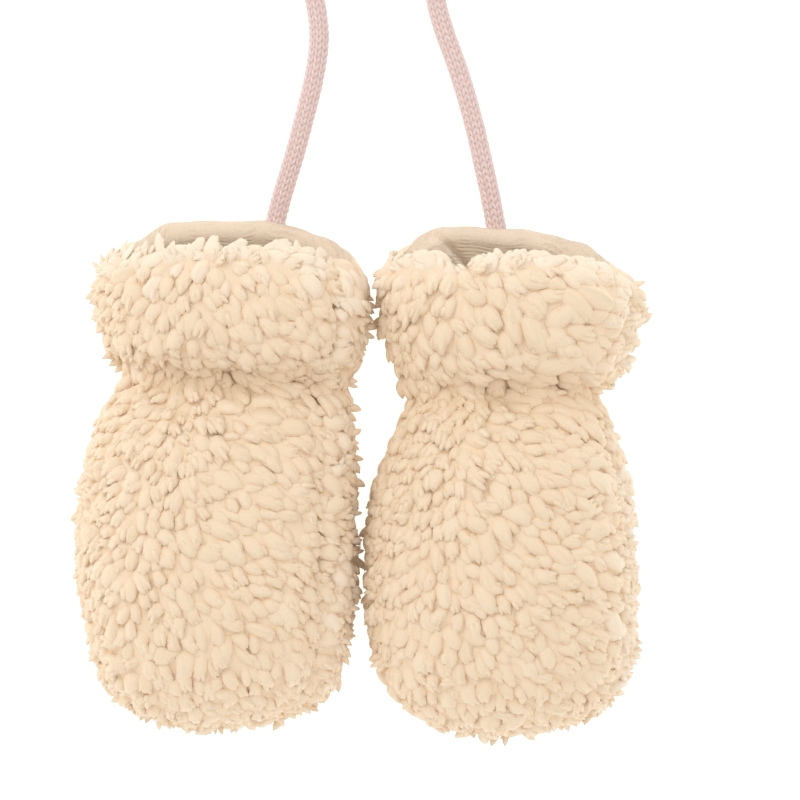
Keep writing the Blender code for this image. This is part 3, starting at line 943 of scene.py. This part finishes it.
class MITTENS_OT_linings(bpy.types.Operator):
    """Makes the plush linings, which show at the mouths"""

    bl_idname = "mittens.linings"
    bl_label = "Plush linings"

    def execute(self, context):
        settings = context.scene.mittens_lining
        material = self.material(settings)
        for mitten in MITTENS:
            form = Form(mitten)
            for side in SIDES:
                self.make(form, side, material)
        return {"FINISHED"}

    def make(self, form, side, material):
        name = form.mitten.name
        outer_depth = PILE_WALL + GAP
        inner_depth = outer_depth + LINING_WALL
        place, angle = form.grid(side, *LINING_GRIDS[side])
        swell = RIM_SWELL * (1 - smooth(*SWELL_SPAN, place)) * (side == "front")
        puff = PUFF * (1 - smooth(*PUFF_SPAN, place)) * (side == "back")
        depths = (outer_depth - swell, inner_depth + puff)
        outer, inner = form.layers(side, place, angle, depths)
        if side == "back":
            outer, inner = self.rolled(form, angle[0], outer, inner)
        fold_shade_and_light = np.zeros(outer.shape[:2])
        if side == "back" and form.mitten.dip:
            fold_shade_and_light = self.fold(outer, inner)
        layer = np.stack((travelled(outer, 0) / MM, travelled(outer, 1) / MM, fold_shade_and_light), -1)
        layer = layer.reshape(-1, 3)
        layer = np.vstack((layer, layer, np.zeros((2, 3))))
        mesh = sheet_mesh(outer, inner, form.tips(side, (outer_depth, inner_depth)))
        piece = mesh_piece(f"{name}_{side}_lining", *mesh, {"plush": layer})
        finish_piece(piece, material, "lining_plush", f"{name}_lining_{side}")
        flat, area = form.cut(side, outer_depth)

    def fold(self, outer, inner):
        """Raises the lining on the left of the fold line, and says how near the line points are, as
        a mark for painted shade in the crease; on the raised side the mark is negative, for painted
        light.
        """
        start, end = np.array(FOLD) * MM
        along = unit(end - start)
        left = np.array((along[1], -along[0]))
        for grid in (outer, inner):
            aside = (grid[..., :2] - start) @ left
            deep = (grid[..., :2] - start) @ along
            share = smooth(-0.2 * MM, 1.0 * MM, aside) * (1 - smooth(6 * MM, 16 * MM, aside))
            share = share * (1 - smooth(9 * MM, 16 * MM, deep)) * smooth(-4 * MM, 1 * MM, deep)
            near = np.exp(-(((aside + 0.8 * MM) / (1.2 * MM)) ** 2)) * smooth(-4 * MM, 3 * MM, deep)
            grid[..., 2] += FOLD_HEIGHT * share
        return near - share * (1 - near)

    def rolled(self, form, angles, outer, inner):
        """The two grids with the stretch before them that rolls over the back rim."""
        roll = np.array(ROLL, dtype=float)
        share = np.linspace(0, len(roll) - 1, 25)[:-1]
        path, _ = spline(roll, share)
        along = (angles - angles[0]) / (angles[-1] - angles[0])
        full = smooth(0.0, 0.2, along) * smooth(0.0, 0.2, 1 - along)
        full = full * (1 + 0.06 * np.sin(9 * angles + 1) + 0.05 * np.sin(17 * angles))
        last = roll[-1]
        path = last[:, None] + (path - last)[..., None] * (0.5 + 0.5 * full)
        face = form.point(path[:, 0], angles[None], path[:, 1] * MM)
        back = form.point(path[:, 2], angles[None], path[:, 3] * MM)
        for grid in (face, back):
            aside = grid[..., 0] - form.mitten.axis_x - DROOP_X
            grid[..., 1] -= form.mitten.droop * np.exp(-((aside / DROOP_WIDTH) ** 2))
        return np.concatenate((back, outer)), np.concatenate((face, inner))

    def material(self, settings):
        graph = Graph("lining_plush")
        run, _, fold_shade_and_light, vector = graph.attribute("plush")
        colour = tinted(settings.colour)
        sway = graph.noise(vector, 0.22, 2.0)
        wave = (run + sway * 1.2) * (math.tau * MM / settings.rib)
        rib = graph.add("ShaderNodeMath", {"operation": "SINE"}, {0: wave})
        nap = graph.noise(graph.stretched(vector, (3.2, 0.9, 1.0)), 1.3, 4.0, 0.65)
        patch = ((graph.noise(vector, 0.12, 1.0) - 0.42) * 5.0).clamped()
        groove = ((rib * 0.5 + 0.5) * nap * patch).clamped()
        # Painted light: past the roll the lining keeps its full colour, while the roll is painted a
        # little darker, so that the inside of the mouth stands out of its shade.
        inside_painted_light = ((run - 11.0) / 5.0).clamped()
        base = graph.mix(inside_painted_light, tinted(colour, (0.97, 0.95, 0.92)), colour)
        # Painted light on the raised side of the fold, inside the mouth.
        base = graph.mix(((0 - fold_shade_and_light) * inside_painted_light).clamped(), base, tinted(colour, 1.06))
        # Painted shade in the rib grooves and in the fold's crease, with darker mottling from the
        # nap.
        shade = (groove * 0.8 + (nap - 0.42) * 0.8 + fold_shade_and_light).clamped()
        base = graph.mix(shade, base, tinted(colour, (0.78, 0.70, 0.61)))
        return graph.cloth(
            base, nap * 0.8 - rib * patch * 0.2, 0.8 * MM, 0.9,
            sheen=0.5, sheen_roughness=0.4, sheen_tint=(1.0, 0.93, 0.86),
        )


class MITTENS_OT_teddy(bpy.types.Operator):
    """Makes the shells: a backing for each panel, and its pile of locks"""

    bl_idname = "mittens.teddy"
    bl_label = "Teddy cloth"

    def execute(self, context):
        settings = context.scene.mittens_pile
        self.settings = settings
        pile_material = self.pile_material(settings)
        backing_material = self.backing_material(settings)
        for mitten in MITTENS:
            form = Form(mitten)
            self.learn_skin(form)
            for i, side in enumerate(SIDES):
                random = np.random.default_rng(mitten.seed + i)
                backing = self.backing(form, side)
                finish_piece(
                    backing, backing_material, "teddy_cloth", f"{mitten.name}_shell_{side}"
                )
                pile = self.pile(form, side, random)
                finish_piece(pile, pile_material, "teddy_cloth")
                flat, area = form.cut(side, ROOT_DEPTH)
        return {"FINISHED"}

    def backing(self, form, side):
        """The knitted back of the teddy cloth, a thin closed sheet under the pile."""
        place, angle = form.grid(side, *BACKING_GRID)
        depths = (ROOT_DEPTH, ROOT_DEPTH + BACKING_WALL)
        mesh = sheet_mesh(*form.layers(side, place, angle, depths), form.tips(side, depths))
        return mesh_piece(f"{form.mitten.name}_{side}_cloth", *mesh)

    def learn_skin(self, form):
        """Keeps points of the mitten's skin, to find the nearest one to any point."""
        places = stretched_rows(SKIN_ROWS)
        angles = np.linspace(0, math.tau, SKIN_COLUMNS, endpoint=False)
        place, angle = (part.ravel() for part in np.meshgrid(places, angles, indexing="ij"))
        turned = np.where(angle < form.mitten.right_seam, angle + math.tau, angle)
        top = form.point(place, angle, form.skin_depth(place, turned))
        self.skin_top = top
        self.skin_up = top - form.point(place, angle, ROOT_DEPTH)
        self.skin_tree = KDTree(len(top))
        for i, point in enumerate(top):
            self.skin_tree.insert(point, i)
        self.skin_tree.balance()

    def nearest(self, points):
        """The skin's nearest point to each of the points, and the way up through the pile."""
        flat = points.reshape(-1, 3)
        index = np.array([self.skin_tree.find(point)[1] for point in flat])
        shape = points.shape
        return self.skin_top[index].reshape(shape), self.skin_up[index].reshape(shape)

    def roots(self, form, side, random):
        """Places, angles and sizes of the locks, scattered no closer than the spacing."""
        place, angle = form.grid(side, *ROOT_GRID)
        places, angles = place[:, 0], angle[0]
        surface = form.point(place, angle, SCATTER_DEPTH)
        down = np.diff(surface, axis=0)[:, :-1]
        across = np.diff(surface, axis=1)[:-1]
        area = np.linalg.norm(np.cross(down, across), axis=2).ravel()
        spacing = self.settings.spacing
        tries = int(30 * area.sum() / spacing**2)
        cell = random.choice(len(area), size=tries, p=area / area.sum())
        row, column = np.divmod(cell, len(angles) - 1)
        place = places[row] + random.uniform(0, 1, tries) * (places[1] - places[0])
        angle = angles[column] + random.uniform(0, 1, tries) * (angles[1] - angles[0])
        points = form.point(place, angle, SCATTER_DEPTH)
        _, up, flow, size = self.lie(form, side, place, angle)
        lean, flatness = laid(flow, unit(up))
        size = size * random.uniform(*LOCK_SIZES, tries)
        along = spacing * size * (1 + (ALONG - 1) * flatness)
        across = spacing * size * (1 + (ACROSS - 1) * flatness)
        spots = np.empty((tries, 3))
        kept = []
        for i in np.flatnonzero(place > FIRST_PLACE[side]):
            gap = spots[: len(kept)] - points[i]
            ahead = gap @ lean[i]
            aside = (gap**2).sum(1) - ahead**2
            if ((ahead / along[i]) ** 2 + aside / across[i] ** 2 >= 1).all():
                spots[len(kept)] = points[i]
                kept.append(i)
        return place[kept], angle[kept], size[kept]

    def lie(self, form, side, place, angle):
        """How the pile lies at places of a panel: the skin there, the way up through the pile, the
        way it is brushed in plan, and the size of locks."""
        top = form.point(place, angle, form.skin_depth(place, angle))
        up = top - form.point(place, angle, ROOT_DEPTH)
        return top, up, *form.nap(top, side, place)

    def stems(self, form, side, random):
        """The locks' middle lines, laid along the skin, and how wide and thick each lock is."""
        settings = self.settings
        place, angle, size = self.roots(form, side, random)
        count = len(place)
        top, up, flow, _ = self.lie(form, side, place, angle)
        height = np.linalg.norm(up, axis=1)
        normal = unit(up)
        rim = 1 - smooth(*RIM_BAND, place)
        yaw = random.normal(0, YAW, count)
        if side == "front":
            yaw = yaw * (1 + RIM_YAW * rim)
        cos, sin = np.cos(yaw), np.sin(yaw)
        x, y = flow[:, 0], flow[:, 1]
        flow = np.column_stack((x * cos - y * sin, x * sin + y * cos, 0 * yaw))
        lean, flatness = laid(flow, normal)
        stand = 1 - flatness
        level_way = unit(np.cross((0.0, 0.0, 1.0), flow))
        side_way = flatness[:, None] * np.cross(normal, lean) + stand[:, None] * level_way
        side_way = unit(side_way)
        stretch = random.uniform(*LENGTHS, count)
        lying = UPRIGHT_LENGTH + (1 - UPRIGHT_LENGTH) * flatness
        length = settings.length * size * stretch * lying
        length = length * (1 - CREASE_LOSS * np.maximum(*form.creases(place, angle)))
        has_dip = form.mitten.dip > 0
        rim_gap = rim * np.exp(-(((top[:, 0] - DIP_X) / (1.6 * DIP_WIDTH)) ** 2)) * has_dip
        length = length * (1 + RIM_GAIN * rim) * (1 - DIP_LOSS * rim_gap)
        if side == "front":
            to_seam = SEAM_ROUND * (angle - form.mitten.right_seam) + SEAM_REACH
            length = np.minimum(length, np.maximum(LEAST_LENGTH * length, to_seam / AHEAD))
        width = settings.width * size * random.uniform(*GIRTHS, count) * (1 + RIM_WIDER * rim)
        thick = settings.thickness * size * random.uniform(*GIRTHS, count)
        thick = thick * np.clip(height / ROOT_DEPTH, 0.6, 1.0) * (1 - RIM_THINNER * rim)
        sway = random.normal(0, SWAY, count)
        behind = BEHIND + (form.mitten.hold_back + random.uniform(*RIM_STARTS, count)) * rim
        behind = behind + DIP_START * rim_gap
        if side == "back":
            behind = BEHIND * smooth(0.0, 1.0, place)
            from_seam = SEAM_ROUND * (form.spans[side][1] - angle)
            behind = np.minimum(behind, (from_seam + 0.3 * MM) / length)
        forward = STATIONS - behind[:, None]
        straight = (
            top[:, None]
            + (length[:, None] * forward)[..., None] * lean[:, None]
            + (sway[:, None] * STATIONS**2)[..., None] * side_way[:, None]
        )
        skin, skin_up = self.nearest(straight)
        skin_normal = unit(skin_up)
        off = ((straight - skin) * skin_normal).sum(-1, keepdims=True)
        uneven = random.uniform(-CREST_SPREAD, CREST_SPREAD, count)
        crest = CREST_SHARE[0] + uneven + CREST_SHARE[1] * stand
        low = (ROOT_SHARE[0] + ROOT_SHARE[1] * stand)[:, None]
        rise = (BEND[0] + BEND[1] * stand)[:, None]
        deep = low + (crest[:, None] - low) * (1 - (1 - STATIONS) ** rise)
        tuck = random.uniform(*TUCKS, (count, 1)) * flatness[:, None] ** 2
        deep = deep + tuck * TUCK
        path = straight - off * skin_normal - deep[..., None] * skin_up
        path = form.dipped(path, place[:, None], side)
        run = unit(np.gradient(path, axis=1))
        across = unit(side_way[:, None] - (side_way[:, None] * run).sum(-1, keepdims=True) * run)
        return SimpleNamespace(
            place=place, top=top, height=height, rim=rim, stand=stand, length=length, width=width,
            thick=thick, deep=deep, path=path, across=across, over=np.cross(run, across),
        )

    def pile(self, form, side, random):
        """All the wool of a panel: its locks, the smaller leaves at their ends, and the bed."""
        stems = self.stems(form, side, random)
        parts = [self.leaves(form, side, stems, random)]
        parts.append(self.leaflets(LEAFLETS[side], stems, random, len(parts[0][0])))
        parts.append(self.bed(form, side, random, sum(len(part[0]) for part in parts)))
        points, faces, layer, grain = zip(*parts)
        points = np.vstack(points)
        level = points[:, 2]
        points[:, 2] = np.where(level < LOW, LOW * np.exp(level / LOW - 1), level)
        layers = {"lock": np.vstack(layer), "grain": np.vstack(grain)}
        return mesh_piece(f"{form.mitten.name}_{side}_pile", points, sum(faces, []), layers)

    def leaves(self, form, side, stems, random):
        """The locks, a plump, curved leaf on each stem. Also says how pale each lock is, with
        painted light on upright locks and at the right edge.
        """
        count = len(stems.place)
        rim, deep = stems.rim, stems.deep
        round_share = random.uniform(*ROUND_SHARES, (count, 1))
        round_share = round_share * (1 - UPRIGHT_POINTED * stems.stand[:, None])
        round_share = round_share * (1 - RIM_POINTED * rim[:, None])
        profile = round_share * ROUND_LEAF + (1 - round_share) * POINTED_LEAF
        sides = LOCK_SIDES[side]
        rings = len(STATIONS) - 2
        wide, tall = oval(sides)
        lumps = 1 + random.normal(0, LOCK_LUMPS, (count, 1, sides))
        lumps = lumps + random.normal(0, STATION_LUMPS, (count, len(STATIONS), sides))
        half_width = (0.5 * stems.width[:, None] * profile)[..., None] * lumps * wide
        half_thick = (0.5 * stems.thick[:, None] * LEAF_THICKNESS)[..., None] * lumps * tall
        body = (
            stems.path[:, 1:-1, None]
            + half_width[:, 1:-1, :, None] * stems.across[:, 1:-1, None]
            + half_thick[:, 1:-1, :, None] * stems.over[:, 1:-1, None]
        )
        pale_and_painted_light = (1 - smooth(*WHITE_RIM, stems.place)) * random.uniform(*RIM_WHITE, count)
        # Painted light: upright locks on the steep sides, and locks towards the right edge, are
        # made whiter.
        pale_and_painted_light = np.maximum(pale_and_painted_light, UPRIGHT_PAINTED_LIGHT * stems.stand)
        painted_edge_light = smooth(*PAINTED_LIGHT_EDGE, stems.top[:, 0] - form.mitten.axis_x)
        pale_and_painted_light = np.maximum(pale_and_painted_light, EDGE_PAINTED_LIGHT * painted_edge_light)
        stems.tone = np.maximum(random.uniform(0, 1, count), rim) + pale_and_painted_light
        lift = (half_thick / stems.height[:, None, None])[:, 1:-1]
        layer = np.zeros((count, rings * sides + 2, 3))
        # The first number is how deep a point lies in the pile; the material paints light into the
        # crevices from it.
        layer[:, :-2, 0] = (deep[:, 1:-1, None] - lift).reshape(count, -1)
        layer[:, -2:, 0] = deep[:, [0, -1]]
        layer[:, :, 1] = stems.tone[:, None]
        layer[:, :-2, 2] = np.repeat(STATIONS[1:-1], sides)
        layer[:, -1, 2] = 1.0
        grain = np.zeros_like(layer)
        grain[:, :-2, 0] = half_width[:, 1:-1].reshape(count, -1) / MM
        grain[:, :, 1] = layer[:, :, 2] * (stems.length / MM)[:, None]
        grain[:, :, 2] = TONE_SHIFT * stems.tone[:, None]
        points = np.concatenate((body.reshape(count, -1, 3), stems.path[:, [0, -1]]), axis=1)
        faces = leaf_faces(count, rings, sides)
        return points.reshape(-1, 3), faces, layer.reshape(-1, 3), grain.reshape(-1, 3)

    def leaflets(self, each_lock, stems, random, first):
        """Smaller leaves that part from each lock, so that its end looks split."""
        path, width, thick = stems.path, stems.width, stems.thick
        shape = (len(path), each_lock)
        start = random.integers(3, 5, shape)
        pick = np.arange(len(path))[:, None]
        hand = random.choice((-1.0, 1.0), (len(path), 1)) * LEAFLET_HANDS[:each_lock]
        aside = hand * random.uniform(*LEAFLET_ASIDE, shape)
        raised = random.uniform(*LEAFLET_RAISED, shape)
        side_way = stems.across[pick, start]
        up_way = stems.over[pick, start]
        root = (
            path[pick, start]
            + (aside * width[:, None])[..., None] * side_way
            + (raised * thick[:, None])[..., None] * up_way
        )
        heading = unit(path[pick, start + 2] - path[pick, start])
        reach = random.uniform(*LEAFLET_REACH, shape) * width[:, None]
        spread = random.normal(0, LEAFLET_STRAY, shape) + LEAFLET_FAN * aside
        heading = unit(heading + spread[..., None] * side_way)
        sink = random.uniform(*LEAFLET_SINK, shape) * reach
        line = (
            root[:, :, None]
            + (reach[..., None] * LEAFLET_LEVELS)[..., None] * heading[:, :, None]
            - (sink[..., None] * LEAFLET_LEVELS**2)[..., None] * up_way[:, :, None]
        )
        wide, tall = oval(LEAFLET_SIDES)
        half_width = (LEAFLET_WIDTH * width)[:, None] * random.uniform(*LEAFLET_GIRTHS, shape)
        half_thick = (LEAFLET_THICKNESS * thick)[:, None] * random.uniform(*LEAFLET_GIRTHS, shape)
        girth = LEAFLET_GIRTH[:-1, None]
        body = (
            line[:, :, :-1, None]
            + (half_width[..., None, None] * girth * wide)[..., None] * side_way[:, :, None, None]
            + (half_thick[..., None, None] * girth * tall)[..., None] * up_way[:, :, None, None]
        )
        count = start.size
        ends = line[:, :, [0, -1]].reshape(count, 2, 3)
        points = np.concatenate((body.reshape(count, -1, 3), ends), axis=1)
        faces = leaf_faces(count, len(girth), LEAFLET_SIDES, first)
        layer = np.ones((*shape, points.shape[1], 3))
        sunk = stems.deep[pick, start + 1] - raised * (thick / stems.height)[:, None]
        layer[..., 0] = sunk[..., None]
        layer[..., 1] = stems.tone[:, None, None]
        grain = np.zeros_like(layer)
        grain[..., 2] = TONE_SHIFT * stems.tone[:, None, None] + LEAFLET_SHIFT
        return points.reshape(-1, 3), faces, layer.reshape(-1, 3), grain.reshape(-1, 3)

    def bed(self, form, side, random, first):
        """The short wool that stands between the locks, a closed layer on the backing."""
        place, angle = form.grid(side, *BED_GRID)
        dent = form.skin_depth(place, angle) + BED_DEPTH
        dent = dent + random.normal(0, BED_ROUGHNESS, place.shape)
        floor = ROOT_DEPTH - BED_CLEAR
        depths = (np.minimum(dent, ROOT_DEPTH - BED_LEAST), floor)
        outer, inner = form.layers(side, place, angle, depths)
        tips = form.tips(side, (BED_DEPTH, floor), 0.0)
        points, faces = sheet_mesh(outer, inner, tips, first)
        layer = np.tile((BED_DEPTH / ROOT_DEPTH, 0.5, 0.0), (len(points), 1))
        return points, faces, layer, points / MM

    def pile_material(self, settings):
        graph = Graph("teddy_pile")
        deep, chance, _, _ = graph.attribute("lock")
        _, _, _, grain = graph.attribute("grain")
        tip, root = settings.tip_colour, settings.root_painted_light_colour
        base = graph.mix((chance * 0.8).clamped(), tinted(tip), tinted(tip, (1.03, 1.05, 1.09)))
        # Paler locks near the rim, and painted light on upright locks and at the right edge.
        pale_and_painted_light = tinted(tip, (1.07, 1.17, 1.34))
        base = graph.mix(((chance - 0.95) * 0.9).clamped(), base, pale_and_painted_light)
        # Painted light in the crevices: the deeper a point lies, the more it takes the lighter root
        # colour.
        base = graph.mix(((deep - 0.28) * 1.6).clamped(), base, tinted(root))
        fibre = graph.noise(graph.stretched(grain, (2.6, 0.35, 1.0)), 1.0, 3.0, 0.6)
        base = graph.mix(((fibre - 0.5) * 0.5).clamped(), base, tinted(root))
        return graph.cloth(
            base, fibre, 0.35 * MM, 0.7, sheen_roughness=0.45, sheen_tint=(1.0, 0.95, 0.88)
        )

    def backing_material(self, settings):
        graph = Graph("teddy_backing")
        # The backing takes the root colour, which is painted lighter to stand for light through the
        # fibres.
        root = tinted(settings.root_painted_light_colour)
        knit = graph.noise(graph.object_place(), 900.0, 2.0)
        return graph.cloth(graph.mix(knit, root, tinted(root, 0.85)), knit, 0.3 * MM, sheen=0.2)


class MITTENS_PT_panel(bpy.types.Panel):
    """Lists the steps that dress the mittens, with their sizes and colours"""

    bl_idname = "MITTENS_PT_panel"
    bl_label = "Teddy mittens"
    bl_space_type = "VIEW_3D"
    bl_region_type = "UI"
    bl_category = "Mittens"

    def draw(self, context):
        for operator, group in STEPS:
            box = self.layout.box()
            box.operator(operator)
            settings = getattr(context.scene, group)
            for name in settings.bl_rna.properties.keys():
                if name not in ("rna_type", "name"):
                    box.prop(settings, name)


STEPS = (
    ("mittens.stage", "mittens_stage"),
    ("mittens.cord", "mittens_cord"),
    ("mittens.linings", "mittens_lining"),
    ("mittens.teddy", "mittens_pile"),
)
GROUPS = {
    "mittens_stage": StageSettings,
    "mittens_cord": CordSettings,
    "mittens_lining": LiningSettings,
    "mittens_pile": PileSettings,
}
CLASSES = (
    *GROUPS.values(),
    MITTENS_OT_stage,
    MITTENS_OT_cord,
    MITTENS_OT_linings,
    MITTENS_OT_teddy,
    MITTENS_PT_panel,
)


def register():
    for item in CLASSES:
        bpy.utils.register_class(item)
    for name, group in GROUPS.items():
        setattr(bpy.types.Scene, name, bpy.props.PointerProperty(type=group))


def unregister():
    for name in GROUPS:
        delattr(bpy.types.Scene, name)
    for item in reversed(CLASSES):
        bpy.utils.unregister_class(item)


def main():
    register()
    bpy.ops.mittens.stage()
    bpy.ops.mittens.cord()
    bpy.ops.mittens.linings()
    bpy.ops.mittens.teddy()


if __name__ == "__main__":
    main()
